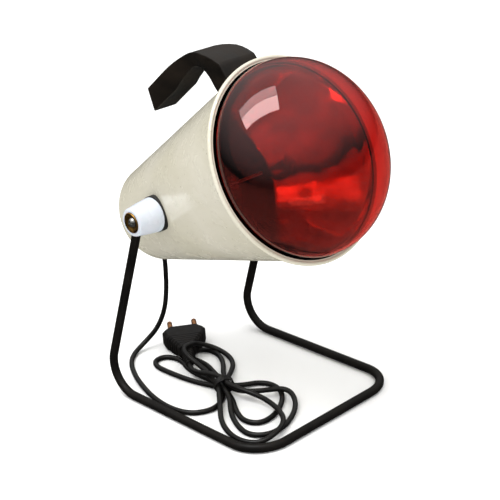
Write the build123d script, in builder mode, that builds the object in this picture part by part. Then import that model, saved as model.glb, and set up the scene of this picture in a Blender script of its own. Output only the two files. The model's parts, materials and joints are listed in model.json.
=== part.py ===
"""Infrared heat lamp: a conical lamp head tilting in a bent-rod stand, with a screw-in reflector bulb.

Millimetres, +Z up. The lamp faces -Y, the tilt axis runs along X, and the origin is on the floor
under the middle of the lamp. Head pieces are drawn on planes through the pivot: "along" is the
distance in front of the tilt axis on the lamp's own axis, and "radius" is measured from that axis.
"""
from build123d import *
from math import cos, pi, radians, sin, sqrt, tan
import os

os.makedirs("parts", exist_ok=True)

# Stand: one rod, bent into a flat rectangle with two uprights that lean back from the pivot.
rod_r = 3.0
pivot_y = 32.4
pivot_z = 138.0
base_half_width = 65.0
base_back_y = 85.4
base_front_y = -68.6
front_bend_r = 24.0
back_bend_r = 20.0
eye_r = 5.0
eye_thickness = 4.0

# Pivot hardware, one set on each side.
rod_in_boss = 11.8
screw_r = 2.0
screw_head_r = 3.4
screw_head_h = 2.2
running_clearance = 0.06
face_gap = 0.15
saddle_r = 12.2
saddle_stand_off = 3.0
boss_inner_r = 11.75
boss_outer_r = 9.5
boss_length = 18.3
boss_pocket_gap = 0.1
cup_r = 6.2
cup_seat_depth = 1.4
cup_thickness = 0.8
inner_saddle_r = 7.0
inner_saddle_depth = 3.6
inner_washer_r = 5.0
inner_washer_thickness = 1.0
pivot_nut_flats = 7.0
pivot_nut_h = 5.0

# Lamp head: a spun cone, closed at the back, rolled at the mouth.
rest_tilt = 25.0
mouth_at = 95.5
mouth_gap = 1.6
back_at = -63.5
back_r = 34.0
shade_wall = 0.9
back_edge_r = 4.0
bead_r = 1.5
bead_setback = 1.1
bead_rise = 0.9
vent_r = 2.5
vent_ring_r = 26.0
vent_count = 6
first_vent_angle = 20.0
vent_step = 28.0
liner_wall = 0.45
liner_setback = 1.5
liner_length = 69.0

# Handle: a flat-sided hook with a free rear end.
handle_root_half_width = 15.5
handle_tip_half_width = 9.8
handle_screw_at = 70.5
handle_screw_x = 8.0
handle_screw_rise = 13.6
handle_mid_extra = 2.0
handle_mid_at = 40.0
handle_flare_at = 62.0
handle_plan_spare = 3.0
fixing_screw_r = 2.0
fixing_head_r = 3.5
fixing_head_h = 2.4

# Bulb: a 125 mm reflector lamp with an E27 screw cap.
bulb_r = 62.5
bulb_proud = 4.2
bulb_flare_length = 99.7
bulb_dome_h = 42.0
bulb_length = 180.0
glass_wall = 1.2
# The flare between neck and dome: share of its length, share of the step from neck_r to bulb_r.
flare_shares = [(0.0, 0.0), (0.301, 0.254), (0.602, 0.604), (0.843, 0.886), (1.0, 1.0)]
glass_in_cap = 8.0
mirror_gap = 0.3
mirror_wall = 0.4
mirror_setback = 3.2
mirror_length = 92.5
neck_r = 19.6
cap_r = 13.1
cap_length = 27.0
cap_wall = 0.4
cap_shoulder = 1.0
cap_contact_r = 4.5
cap_contact_h = 1.0
cap_insulator_h = 3.3
stem_r = 5.0
stem_gap = 0.1
stem_foot = 2.0
support_foot = 3.0
filament_setback = 53.7
stem_setback = 20.0
filament_half_span = 10.0
support_r = 0.6
filament_r = 1.0

# Lampholder: ceramic body with a brass thread shell, on a hat-shaped bracket.
holder_r = 20.5
holder_floor_gap = 3.7
holder_depth = 27.5
holder_base = 10.0
holder_edge_r = 1.5
thread_clearance = 0.4
thread_wall = 0.5
bracket_t = 1.2
bracket_half_width = 8.0
bracket_top_half = 15.2
bracket_foot_half = 24.0
bracket_screw_x = 19.8
holder_screw_x = 9.0
bracket_nut_h = 3.0
screw_spare = 1.0
small_screw_r = 1.5
small_head_r = 2.7
small_head_h = 1.8
holder_screw_depth = 8.0
terminal_size = 7.0
terminal_depth = 5.0
terminal_inset = 3.0
contact_width = 6.0
contact_t = 0.8
contact_gap = 0.2
contact_foot = 8.0
contact_heel = 4.5
contact_tip = 3.0

# Cord entry, low on the back of the shade.
gland_x = 9.0
gland_up = -21.5
gland_neck_r = 5.0
gland_flange_r = 6.5
gland_flange_t = 2.0
gland_outside = 9.0
gland_inside = 11.5
gland_tip_r = 2.7
gland_nut_flats = 11.0
gland_nut_h = 3.0
gland_end_step = 0.6
core_r = 1.1
core_spread = 1.6
core_gap = 0.1

# Cord, hank, tie and plug, all lying on the floor inside the stand.
cord_d = 3.6
hank_h = 7.4
tie_half_length = 2.6
tie_t = 0.8
tie_bottom = 0.15
tie_middle = (-18.0, 13.5)
tie_heading = 60.0
waist_length = 17.0
waist_half_width = 5.2
waist_lift = 1.0
# The hank's two bunches of loops seen from above: each is wrapped round these circles (middle, radius).
front_bunch = [((-23.5, 4.5), 4.5), ((-4.0, -14.0), 10.0), ((-13.0, -33.0), 13.0), ((-42.0, -41.0), 15.0)]
rear_bunch = [((-13.0, 22.5), 4.5), ((8.0, 70.0), 12.0), ((-10.0, 84.0), 11.0), ((-17.0, 50.0), 7.0)]
plug_face = (17.0, 98.0)
plug_heading = 54.0
plug_thickness = 13.2
plug_body_length = 33.0
plug_relief_length = 20.0
plug_face_half = 11.0
plug_ear_at = 6.0
plug_ear_half = 16.2
plug_side_at = 14.0
plug_side_half = 14.6
plug_tail_half = 5.6
relief_r = 5.0
relief_wall = 1.0
plug_edge = 2.0
plug_gap = 0.3
pin_r = 2.0
pin_length = 19.0
pin_spacing = 18.6
pin_embed = 4.0
pin_tip = 0.8
pin_root_r = 1.7

# Points of the cord's route after the gland, chosen to fall, touch down and curl round to the tie.
route_after_gland = [
    (8.9, 100.9, 76.4),
    (8.5, 100.2, 63.0),
    (7.6, 101.0, 44.5),
    (5.0, 102.5, 28.5),
    (-1.5, 105.5, 15.0),
    (-11.0, 110.5, 5.5),
    (-22.5, 109.0, 1.8),
    (-33.0, 100.0, 1.8),
    (-42.0, 86.0, 1.8),
    (-50.0, 68.0, 1.8),
    (-57.0, 46.0, 1.8),
    (-59.5, 25.0, 1.8),
    (-56.0, 8.5, 1.8),
    (-45.0, 0.5, 1.8),
    (-34.5, 1.5, 1.8),
    (-26.0, 7.5, 1.8),
]
first_run = 8.8

# Frames of reference.
tilt = radians(rest_tilt)
front = Vector(0, -cos(tilt), sin(tilt))
upward = Vector(0, sin(tilt), cos(tilt))
pivot = Vector(0, pivot_y, pivot_z)
head_axis = Axis(pivot, front)
pivot_axis = Axis(pivot, (1, 0, 0))
head_side = Plane(origin=pivot, x_dir=front, z_dir=(-1, 0, 0))
head_top = Plane(origin=pivot, x_dir=front, z_dir=upward)
pivot_side = Plane(origin=pivot, x_dir=(1, 0, 0), z_dir=(0, -1, 0))

mouth_r = bulb_r + mouth_gap
shade_slope = (mouth_r - back_r) / (mouth_at - back_at)
inner_back_at = back_at + shade_wall
liner_front_at = mouth_at - liner_setback
liner_back_at = liner_front_at - liner_length
bulb_widest_at = mouth_at + bulb_proud
bulb_tip_at = bulb_widest_at + bulb_dome_h
cap_tip_at = bulb_tip_at - bulb_length
cap_front_at = cap_tip_at + cap_length
holder_floor_at = cap_tip_at - holder_floor_gap
holder_front_at = holder_floor_at + holder_depth
holder_back_at = holder_floor_at - holder_base
terminal_at = holder_floor_at - terminal_inset
filament_at = bulb_widest_at - filament_setback
cord_r = cord_d / 2


def head_plane(along):
    """A plane square to the lamp's axis: its x is the row's x, its y is upward in the head."""
    return Plane(origin=pivot + front * along, x_dir=(1, 0, 0), z_dir=front)


def shade_radius(along, inset=0.0):
    """Radius of the shade's cone at a distance in front of the pivot, less a wall."""
    return mouth_r - (mouth_at - along) * shade_slope - inset * sqrt(1 + shade_slope**2)


def shade_solid(inset):
    """Half section of the solid inside the shade's cone, less a wall."""
    return [
        (back_at, 0),
        (back_at, shade_radius(back_at, inset)),
        (mouth_at, shade_radius(mouth_at, inset)),
        (mouth_at, 0),
    ]


def save(piece, name):
    """Label a finished piece and write it as its own file."""
    piece.part.label = name
    export_step(piece.part, f"parts/{name}.step")


saddle_face_x = shade_radius(0) + saddle_stand_off
inner_saddle_face_x = shade_radius(0, shade_wall) - inner_saddle_depth
boss_start_x = saddle_face_x + face_gap
boss_outer_x = boss_start_x + boss_length
rod_top_x = boss_start_x + rod_in_boss
seat_x = boss_outer_x - cup_seat_depth
cup_floor_x = seat_x + cup_thickness
cup_lip_x = boss_outer_x + cup_thickness / 2

# ---------------------------------------------------------------- stand

rod_corners = [
    (-rod_top_x, pivot_y, pivot_z),
    (-base_half_width, base_back_y, rod_r),
    (-base_half_width, base_front_y, rod_r),
    (base_half_width, base_front_y, rod_r),
    (base_half_width, base_back_y, rod_r),
    (rod_top_x, pivot_y, pivot_z),
]
left_upright = (Vector(*rod_corners[1]) - Vector(*rod_corners[0])).normalized()
right_upright = Vector(-left_upright.X, left_upright.Y, left_upright.Z)

with BuildPart() as stand_rod:
    with BuildLine() as rod_path:
        FilletPolyline(*rod_corners, radius=[back_bend_r, front_bend_r, front_bend_r, back_bend_r])
    with BuildSketch(Plane(origin=rod_corners[0], z_dir=left_upright)):
        Circle(rod_r)
    sweep(path=rod_path.line)
    for eye_x in (-rod_top_x, rod_top_x):
        with BuildSketch(Plane.YZ.offset(eye_x)):
            with Locations((pivot_y, pivot_z)):
                Circle(eye_r)
        extrude(amount=eye_thickness / 2, both=True)
        with BuildSketch(Plane.YZ.offset(eye_x)):
            with Locations((pivot_y, pivot_z)):
                Circle(screw_r)
        extrude(amount=eye_thickness, both=True, mode=Mode.SUBTRACT)
save(stand_rod, "stand_rod")


def pivot_boss(side, name):
    """A white tapered knob over the rod's eye, with a seat for the cup washer in its outer end."""
    outline = [
        (boss_start_x, screw_r),
        (boss_start_x, boss_inner_r),
        (boss_outer_x, boss_outer_r),
        (boss_outer_x, cup_r + boss_pocket_gap),
        (seat_x, cup_r + boss_pocket_gap),
        (seat_x, screw_r),
    ]
    upright = right_upright if side > 0 else left_upright
    with BuildPart() as boss:
        with BuildSketch(pivot_side):
            with BuildLine():
                Polyline(*[(side * x, radius) for x, radius in outline], close=True)
            make_face()
        revolve(axis=pivot_axis)
        with BuildSketch(Plane.YZ.offset(side * rod_top_x)):
            with Locations((pivot_y, pivot_z)):
                Circle(eye_r + boss_pocket_gap)
        extrude(amount=eye_thickness / 2 + boss_pocket_gap, both=True, mode=Mode.SUBTRACT)
        with BuildSketch(Plane(origin=(side * rod_top_x, pivot_y, pivot_z), z_dir=upright)):
            Circle(rod_r + boss_pocket_gap)
        extrude(amount=2 * boss_inner_r, mode=Mode.SUBTRACT)
    save(boss, name)


pivot_boss(-1, "pivot_boss_left")
pivot_boss(1, "pivot_boss_right")

dome_r = (screw_head_r**2 + screw_head_h**2) / (2 * screw_head_h)
screw_tip_x = inner_saddle_face_x - face_gap - inner_washer_thickness - pivot_nut_h - screw_spare

with BuildPart() as cup_washers:
    with BuildSketch(pivot_side):
        with BuildLine():
            Polyline(
                (seat_x, screw_r),
                (seat_x, cup_r),
                (cup_lip_x, cup_r),
                (cup_lip_x, cup_r - cup_thickness),
                (cup_floor_x, screw_head_r + cup_thickness),
                (cup_floor_x, screw_r),
                close=True,
            )
        make_face()
    revolve(axis=pivot_axis)
    mirror(about=Plane.YZ)
save(cup_washers, "cup_washers")

with BuildPart() as pivot_screws:
    with BuildSketch(pivot_side):
        with BuildLine():
            Line((screw_tip_x, 0), (screw_tip_x, screw_r))
            Line((screw_tip_x, screw_r), (cup_floor_x, screw_r))
            Line((cup_floor_x, screw_r), (cup_floor_x, screw_head_r))
            RadiusArc((cup_floor_x, screw_head_r), (cup_floor_x + screw_head_h, 0), dome_r)
            Line((cup_floor_x + screw_head_h, 0), (screw_tip_x, 0))
        make_face()
    revolve(axis=pivot_axis)
    mirror(about=Plane.YZ)
save(pivot_screws, "pivot_screws")

washer_x = inner_saddle_face_x - face_gap - inner_washer_thickness
with BuildPart() as inner_washers:
    with BuildSketch(Plane.YZ.offset(washer_x)):
        with Locations((pivot_y, pivot_z)):
            Circle(inner_washer_r)
            Circle(screw_r, mode=Mode.SUBTRACT)
    extrude(amount=inner_washer_thickness)
    mirror(about=Plane.YZ)
save(inner_washers, "inner_washers")

with BuildPart() as pivot_nuts:
    with BuildSketch(Plane.YZ.offset(washer_x - pivot_nut_h)):
        with Locations((pivot_y, pivot_z)):
            RegularPolygon(pivot_nut_flats / 2, 6, major_radius=False)
            Circle(screw_r, mode=Mode.SUBTRACT)
    extrude(amount=pivot_nut_h)
    mirror(about=Plane.YZ)
save(pivot_nuts, "pivot_nuts")

# ---------------------------------------------------------------- lamp head: shade and handle

vent_angles = [radians(first_vent_angle + vent_step * step) for step in range(vent_count)]
vent_spots = [(vent_ring_r * cos(angle), vent_ring_r * sin(angle)) for angle in vent_angles]

with BuildPart() as shade_shell:
    with BuildSketch(head_side):
        with BuildLine():
            Polyline(
                (back_at, 0),
                (back_at, back_r),
                (mouth_at, mouth_r),
                (mouth_at, shade_radius(mouth_at, shade_wall)),
                (inner_back_at, shade_radius(inner_back_at, shade_wall)),
                (inner_back_at, 0),
                close=True,
            )
        make_face()
        outer_corner, inner_corner = vertices().group_by(Axis.X)[0:2]
        fillet(outer_corner.sort_by(Axis.Y)[-1], back_edge_r)
        fillet(inner_corner.sort_by(Axis.Y)[-1], back_edge_r - shade_wall)
    revolve(axis=head_axis)
    with BuildSketch(head_side):
        with Locations((mouth_at - bead_setback, mouth_r + bead_rise)):
            Circle(bead_r)
    revolve(axis=head_axis)
    with BuildSketch(Plane.YZ):
        with Locations((pivot_y, pivot_z)):
            Circle(screw_r + running_clearance)
    extrude(amount=mouth_r, both=True, mode=Mode.SUBTRACT)
    with BuildSketch(head_plane(back_at)):
        with Locations((gland_x, gland_up)):
            Circle(gland_neck_r)
        with Locations((-bracket_screw_x, 0), (bracket_screw_x, 0)):
            Circle(fixing_screw_r)
        with Locations(*vent_spots):
            Circle(vent_r)
    extrude(amount=back_edge_r, mode=Mode.SUBTRACT)
    with BuildSketch(head_top):
        with Locations((handle_screw_at, -handle_screw_x), (handle_screw_at, handle_screw_x)):
            Circle(fixing_screw_r)
    extrude(amount=2 * mouth_r, mode=Mode.SUBTRACT)
save(shade_shell, "shade_shell")

with BuildPart() as heat_liner:
    with BuildSketch(head_side):
        with BuildLine():
            Polyline(
                (liner_back_at, shade_radius(liner_back_at, shade_wall)),
                (liner_front_at, shade_radius(liner_front_at, shade_wall)),
                (liner_front_at, shade_radius(liner_front_at, shade_wall + liner_wall)),
                (liner_back_at, shade_radius(liner_back_at, shade_wall + liner_wall)),
                close=True,
            )
        make_face()
    revolve(axis=head_axis)
    with BuildSketch(head_top):
        with Locations((handle_screw_at, -handle_screw_x), (handle_screw_at, handle_screw_x)):
            Circle(fixing_screw_r)
    extrude(amount=2 * mouth_r, mode=Mode.SUBTRACT)
save(heat_liner, "heat_liner")


def friction_saddle(side, name):
    """A black fibre saddle between the shade's cone and the flat end of a pivot boss."""
    with BuildPart() as saddle:
        with BuildSketch(Plane.YZ.offset(side * saddle_face_x)):
            with Locations((pivot_y, pivot_z)):
                Circle(saddle_r)
                Circle(screw_r + running_clearance, mode=Mode.SUBTRACT)
        extrude(amount=-side * saddle_r)
        with BuildSketch(head_side):
            with BuildLine():
                Polyline(*shade_solid(0), close=True)
            make_face()
        revolve(axis=head_axis, mode=Mode.SUBTRACT)
    save(saddle, name)


friction_saddle(-1, "friction_saddle_left")
friction_saddle(1, "friction_saddle_right")

with BuildPart() as inner_saddles:
    with BuildSketch(Plane.YZ.offset(inner_saddle_face_x)):
        with Locations((pivot_y, pivot_z)):
            Circle(inner_saddle_r)
            Circle(screw_r + running_clearance, mode=Mode.SUBTRACT)
    extrude(amount=inner_saddle_r)
    with BuildSketch(head_side):
        with BuildLine():
            Polyline(*shade_solid(shade_wall), close=True)
        make_face()
    revolve(axis=head_axis, mode=Mode.INTERSECT)
    mirror(about=Plane.YZ)
save(inner_saddles, "inner_saddles")

shade_top = shade_radius(handle_screw_at)


def on_handle(along, rise):
    """A point of the handle's side outline, by its rise above the shade at the handle's screws."""
    return (along, shade_top + rise)


with BuildPart() as handle:
    with BuildSketch(head_side):
        with BuildLine():
            tip_top = on_handle(-10.0, 20.9)
            tip_low = on_handle(-12.0, 4.9)
            top_rear = on_handle(14.0, 26.2)
            top_front = on_handle(40.0, 28.7)
            neck_front = on_handle(75.0, 13.8)
            neck_rear = on_handle(62.0, 6.6)
            foot_front = on_handle(79.0, -9.4)
            foot_rear = on_handle(65.5, -9.4)
            grip_front = on_handle(43.5, 18.9)
            grip_rear = on_handle(18.0, 11.2)
            Line(tip_top, top_rear)
            ThreePointArc(top_rear, on_handle(27.0, 28.2), top_front)
            ThreePointArc(top_front, on_handle(61.0, 24.0), neck_front)
            Polyline(neck_front, foot_front, foot_rear, neck_rear)
            ThreePointArc(neck_rear, on_handle(55.2, 15.2), grip_front)
            ThreePointArc(grip_front, on_handle(31.0, 16.2), grip_rear)
            Polyline(grip_rear, tip_low, tip_top)
        make_face()
    extrude(amount=handle_root_half_width, both=True)
    with BuildSketch(head_top):
        with BuildLine():
            half_plan = [
                (tip_low[0] - handle_plan_spare, handle_tip_half_width),
                (handle_mid_at, handle_tip_half_width + handle_mid_extra),
                (handle_flare_at, handle_root_half_width),
                (foot_front[0] + handle_plan_spare, handle_root_half_width),
            ]
            Polyline(*half_plan, *[(along, -half) for along, half in reversed(half_plan)], close=True)
        make_face()
    extrude(amount=2 * mouth_r, mode=Mode.INTERSECT)
    with BuildSketch(head_side):
        with BuildLine():
            Polyline(*shade_solid(0), close=True)
        make_face()
    revolve(axis=head_axis, mode=Mode.SUBTRACT)
    with BuildSketch(head_top):
        with Locations((handle_screw_at, -handle_screw_x), (handle_screw_at, handle_screw_x)):
            Circle(fixing_screw_r)
    extrude(amount=shade_top + handle_screw_rise, mode=Mode.SUBTRACT)
save(handle, "handle")

liner_inner_r = shade_radius(handle_screw_at - fixing_head_r, shade_wall + liner_wall)
handle_head_top = sqrt(liner_inner_r**2 - (handle_screw_x + fixing_head_r) ** 2)
with BuildPart() as handle_screws:
    with BuildSketch(head_top.offset(handle_head_top - fixing_head_h)):
        with Locations((handle_screw_at, -handle_screw_x), (handle_screw_at, handle_screw_x)):
            Circle(fixing_head_r)
    extrude(amount=fixing_head_h)
    with BuildSketch(head_top.offset(handle_head_top)):
        with Locations((handle_screw_at, -handle_screw_x), (handle_screw_at, handle_screw_x)):
            Circle(fixing_screw_r)
    extrude(amount=shade_top + handle_screw_rise - handle_head_top)
save(handle_screws, "handle_screws")

# ---------------------------------------------------------------- lampholder

thread_r = cap_r + thread_clearance + thread_wall
with BuildPart() as holder_body:
    with BuildSketch(head_side):
        with BuildLine():
            Polyline(
                (holder_back_at, 0),
                (holder_back_at, holder_r),
                (holder_front_at, holder_r),
                (holder_front_at, thread_r),
                (holder_floor_at, thread_r),
                (holder_floor_at, 0),
                close=True,
            )
        make_face()
    revolve(axis=head_axis)
    fillet(edges().filter_by(GeomType.CIRCLE).group_by(SortBy.RADIUS)[-1], holder_edge_r)
    with BuildSketch(head_plane(holder_back_at)):
        with Locations((-holder_screw_x, 0), (holder_screw_x, 0)):
            Circle(small_screw_r)
    extrude(amount=holder_screw_depth, mode=Mode.SUBTRACT)
    for side in (-1, 1):
        with BuildSketch(head_top.offset(side * (holder_r - terminal_depth))):
            with Locations((terminal_at, 0)):
                Rectangle(terminal_size, terminal_size)
        extrude(amount=side * holder_r, mode=Mode.SUBTRACT)
save(holder_body, "holder_body")

with BuildPart() as holder_thread:
    with BuildSketch(head_plane(holder_floor_at + contact_t)):
        Circle(thread_r)
        Circle(thread_r - thread_wall, mode=Mode.SUBTRACT)
    extrude(amount=holder_front_at - holder_floor_at - 2 * contact_t)
save(holder_thread, "holder_thread")

contact_front_at = cap_tip_at - contact_gap
contact_foot_at = holder_floor_at + contact_t
contact_back_at = contact_front_at - contact_t
with BuildPart() as holder_contact:
    with BuildSketch(head_side):
        with BuildLine():
            Polyline(
                (holder_floor_at, -contact_foot),
                (holder_floor_at, contact_heel),
                (contact_foot_at, contact_heel),
                (contact_foot_at, -contact_heel),
                (contact_back_at, -contact_heel / 2),
                (contact_back_at, contact_tip),
                (contact_front_at, contact_tip),
                (contact_front_at, -contact_tip),
                (contact_foot_at, -contact_foot + contact_t),
                (contact_foot_at, -contact_foot),
                close=True,
            )
        make_face()
    extrude(amount=contact_width / 2, both=True)
save(holder_contact, "holder_contact")

with BuildPart() as terminals:
    for side in (-1, 1):
        with BuildSketch(head_top.offset(side * (holder_r - terminal_depth))):
            with Locations((terminal_at, 0)):
                Rectangle(terminal_size, terminal_size)
                Circle(small_screw_r, mode=Mode.SUBTRACT)
        extrude(amount=side * terminal_depth)
save(terminals, "terminals")

with BuildPart() as terminal_screws:
    for side in (-1, 1):
        with BuildSketch(head_top.offset(side * holder_r)):
            with Locations((terminal_at, 0)):
                Circle(small_screw_r)
        extrude(amount=-side * (terminal_depth - screw_spare))
        with BuildSketch(head_top.offset(side * holder_r)):
            with Locations((terminal_at, 0)):
                Circle(small_head_r)
        extrude(amount=side * small_head_h)
save(terminal_screws, "terminal_screws")

top_back_at = holder_back_at - bracket_t
riser = bracket_top_half - bracket_t
with BuildPart() as holder_bracket:
    with BuildSketch(head_top):
        with BuildLine():
            Polyline(
                (inner_back_at, bracket_foot_half),
                (inner_back_at + bracket_t, bracket_foot_half),
                (inner_back_at + bracket_t, bracket_top_half),
                (holder_back_at, bracket_top_half),
                (holder_back_at, -bracket_top_half),
                (inner_back_at + bracket_t, -bracket_top_half),
                (inner_back_at + bracket_t, -bracket_foot_half),
                (inner_back_at, -bracket_foot_half),
                (inner_back_at, -riser),
                (top_back_at, -riser),
                (top_back_at, riser),
                (inner_back_at, riser),
                close=True,
            )
        make_face()
    extrude(amount=bracket_half_width, both=True)
    with BuildSketch(head_plane(inner_back_at)):
        with Locations((-bracket_screw_x, 0), (bracket_screw_x, 0)):
            Circle(fixing_screw_r)
        with Locations((-holder_screw_x, 0), (holder_screw_x, 0)):
            Circle(small_screw_r)
    extrude(amount=holder_back_at - inner_back_at, mode=Mode.SUBTRACT)
save(holder_bracket, "holder_bracket")

with BuildPart() as holder_screws:
    with BuildSketch(head_plane(top_back_at)):
        with Locations((-holder_screw_x, 0), (holder_screw_x, 0)):
            Circle(small_head_r)
    extrude(amount=-small_head_h)
    with BuildSketch(head_plane(top_back_at)):
        with Locations((-holder_screw_x, 0), (holder_screw_x, 0)):
            Circle(small_screw_r)
    extrude(amount=holder_screw_depth)
save(holder_screws, "holder_screws")

with BuildPart() as bracket_screws:
    with BuildSketch(head_plane(back_at)):
        with Locations((-bracket_screw_x, 0), (bracket_screw_x, 0)):
            Circle(fixing_head_r)
    extrude(amount=-fixing_head_h)
    with BuildSketch(head_plane(back_at)):
        with Locations((-bracket_screw_x, 0), (bracket_screw_x, 0)):
            Circle(fixing_screw_r)
    extrude(amount=shade_wall + bracket_t + bracket_nut_h + screw_spare)
save(bracket_screws, "bracket_screws")

with BuildPart() as bracket_nuts:
    with BuildSketch(head_plane(inner_back_at + bracket_t)):
        with Locations((-bracket_screw_x, 0), (bracket_screw_x, 0)):
            RegularPolygon(pivot_nut_flats / 2, 6, major_radius=False)
            Circle(fixing_screw_r, mode=Mode.SUBTRACT)
    extrude(amount=bracket_nut_h)
save(bracket_nuts, "bracket_nuts")

# ---------------------------------------------------------------- cord entry and inner leads

gland_axis_point = pivot + Vector(gland_x, 0, 0) + upward * gland_up
gland_side = Plane(origin=gland_axis_point, x_dir=front, z_dir=(-1, 0, 0))
gland_tip_at = back_at - gland_outside
gland_inner_at = back_at + gland_inside
flange_back_at = back_at - gland_flange_t

with BuildPart() as cord_gland:
    with BuildSketch(gland_side):
        with BuildLine():
            Polyline(
                (gland_tip_at, 0),
                (gland_tip_at, gland_tip_r),
                (flange_back_at, gland_neck_r - gland_end_step),
                (flange_back_at, gland_flange_r),
                (back_at, gland_flange_r),
                (back_at, gland_neck_r),
                (inner_back_at + gland_nut_h + screw_spare, gland_neck_r),
                (gland_inner_at, gland_tip_r + core_spread),
                (gland_inner_at, 0),
                close=True,
            )
        make_face()
    revolve(axis=Axis(gland_axis_point, front))
save(cord_gland, "cord_gland")

with BuildPart() as gland_nut:
    with BuildSketch(head_plane(inner_back_at)):
        with Locations((gland_x, gland_up)):
            RegularPolygon(gland_nut_flats / 2, 6, major_radius=False)
            Circle(gland_neck_r, mode=Mode.SUBTRACT)
    extrude(amount=gland_nut_h)
save(gland_nut, "gland_nut")


def head_point(x, up, along):
    """A point of the head in the row's frame."""
    return pivot + Vector(x, 0, 0) + upward * up + front * along


def lead(points, radii, name):
    """One insulated core, from the gland's inner end to its terminal."""
    with BuildPart() as core:
        with BuildLine() as core_path:
            FilletPolyline(*points, radius=radii)
        with BuildSketch(Plane(origin=points[0], z_dir=(points[1] - points[0]))):
            Circle(core_r)
        sweep(path=core_path.line)
    save(core, name)


lead_up = holder_r + core_r + core_gap
lead_end_x = small_head_r + core_gap
lead_round_x = holder_r + 3.5
lead(
    [
        head_point(gland_x - core_spread, gland_up, gland_inner_at),
        head_point(gland_x - core_spread, gland_up, terminal_at),
        head_point(lead_end_x, -lead_up, terminal_at),
    ],
    [2.5],
    "core_neutral",
)
lead(
    [
        head_point(gland_x + core_spread, gland_up, gland_inner_at),
        head_point(gland_x + core_spread, gland_up, terminal_at),
        head_point(lead_round_x + 1, -8.0, terminal_at + 1),
        head_point(lead_round_x, 13.0, terminal_at),
        head_point(lead_round_x / 2, lead_up, terminal_at),
        head_point(lead_end_x, lead_up, terminal_at),
    ],
    [2.5, 6.0, 8.0, 4.0],
    "core_live",
)

# ---------------------------------------------------------------- bulb


def bulb_outline(inset):
    """Edges of the bulb's outline, from its cap to the tip of its dome, less an inset."""
    neck_end = (cap_front_at, cap_r - cap_wall - inset)
    flare = [
        (bulb_widest_at - (1 - along) * bulb_flare_length, neck_r + spread * (bulb_r - neck_r) - inset)
        for along, spread in flare_shares
    ]
    Line((glass_end_at, neck_end[1]), neck_end)
    Spline(neck_end, *flare, tangents=[(1, 0.6), (1, 0)])
    EllipticalCenterArc((bulb_widest_at, 0), bulb_dome_h - inset, bulb_r - inset, arc_size=90)


def bulb_wall(outer_inset, inner_inset):
    """Edges of a wall that follows the bulb's outline between two insets."""
    bulb_outline(outer_inset)
    bulb_outline(inner_inset)
    neck = cap_r - cap_wall
    Line((glass_end_at, neck - outer_inset), (glass_end_at, neck - inner_inset))
    Line((bulb_tip_at - outer_inset, 0), (bulb_tip_at - inner_inset, 0))


glass_end_at = cap_front_at - glass_in_cap
with BuildPart() as bulb_glass:
    with BuildSketch(head_side):
        with BuildLine():
            bulb_wall(0, glass_wall)
        make_face()
    revolve(axis=head_axis)
save(bulb_glass, "bulb_glass")

mirror_outer = glass_wall + mirror_gap
mirror_front_at = bulb_widest_at - mirror_setback
mirror_back_at = mirror_front_at - mirror_length
with BuildPart() as bulb_mirror:
    with BuildSketch(head_side):
        with BuildLine():
            bulb_wall(mirror_outer, mirror_outer + mirror_wall)
        make_face()
        with BuildLine():
            Polyline(
                (mirror_back_at, 0),
                (mirror_back_at, mouth_r),
                (mirror_front_at, mouth_r),
                (mirror_front_at, 0),
                close=True,
            )
        make_face(mode=Mode.INTERSECT)
    revolve(axis=head_axis)
save(bulb_mirror, "bulb_mirror")

cap_back_at = cap_tip_at + cap_contact_h + cap_insulator_h
with BuildPart() as bulb_cap:
    with BuildSketch(head_side):
        with BuildLine():
            Polyline(
                (cap_back_at, cap_r - cap_shoulder),
                (cap_back_at + cap_shoulder, cap_r),
                (cap_front_at, cap_r),
                (cap_front_at, cap_r - cap_wall),
                (cap_back_at + cap_shoulder, cap_r - cap_wall),
                (cap_back_at + cap_wall, cap_r - cap_shoulder - cap_wall),
                (cap_back_at, cap_r - cap_shoulder - cap_wall),
                close=True,
            )
        make_face()
    revolve(axis=head_axis)
save(bulb_cap, "bulb_cap")

with BuildPart() as cap_insulator:
    with BuildSketch(head_side):
        with BuildLine():
            Polyline(
                (cap_tip_at + cap_contact_h, 0),
                (cap_tip_at + cap_contact_h, cap_contact_r + 1),
                (cap_back_at, cap_r - cap_shoulder - cap_wall),
                (cap_back_at, 0),
                close=True,
            )
        make_face()
    revolve(axis=head_axis)
save(cap_insulator, "cap_insulator")

with BuildPart() as cap_contact:
    with BuildSketch(head_plane(cap_tip_at)):
        Circle(cap_contact_r)
    extrude(amount=cap_contact_h)
save(cap_contact, "cap_contact")

stem_end_at = filament_at - stem_setback
flare_r = cap_r - cap_wall - glass_wall - stem_gap
with BuildPart() as bulb_stem:
    with BuildSketch(head_side):
        with BuildLine():
            Polyline(
                (glass_end_at, 0),
                (glass_end_at, flare_r),
                (glass_end_at + stem_foot, flare_r),
                (cap_front_at, stem_r),
                (stem_end_at, stem_r),
                (stem_end_at, 0),
                close=True,
            )
        make_face()
    revolve(axis=head_axis)
save(bulb_stem, "bulb_stem")

with BuildPart() as filament_supports:
    for side in (-1, 1):
        with BuildLine() as support_path:
            Polyline(
                head_point(side * stem_r / 2, 0, stem_end_at),
                head_point(side * stem_r / 2, 0, stem_end_at + support_foot),
                head_point(side * filament_half_span, 0, filament_at - filament_r),
            )
        with BuildSketch(head_plane(stem_end_at)):
            with Locations((side * stem_r / 2, 0)):
                Circle(support_r)
        sweep(path=support_path.line, transition=Transition.ROUND)
save(filament_supports, "filament_supports")

with BuildPart() as filament:
    with BuildLine() as filament_path:
        ThreePointArc(
            head_point(-filament_half_span, 0, filament_at),
            head_point(0, 0, filament_at + filament_half_span / 2),
            head_point(filament_half_span, 0, filament_at),
        )
    with BuildSketch(Plane(filament_path.line @ 0, z_dir=filament_path.line % 0)):
        Circle(filament_r)
    sweep(path=filament_path.line)
save(filament, "filament")

# ---------------------------------------------------------------- plug

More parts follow.
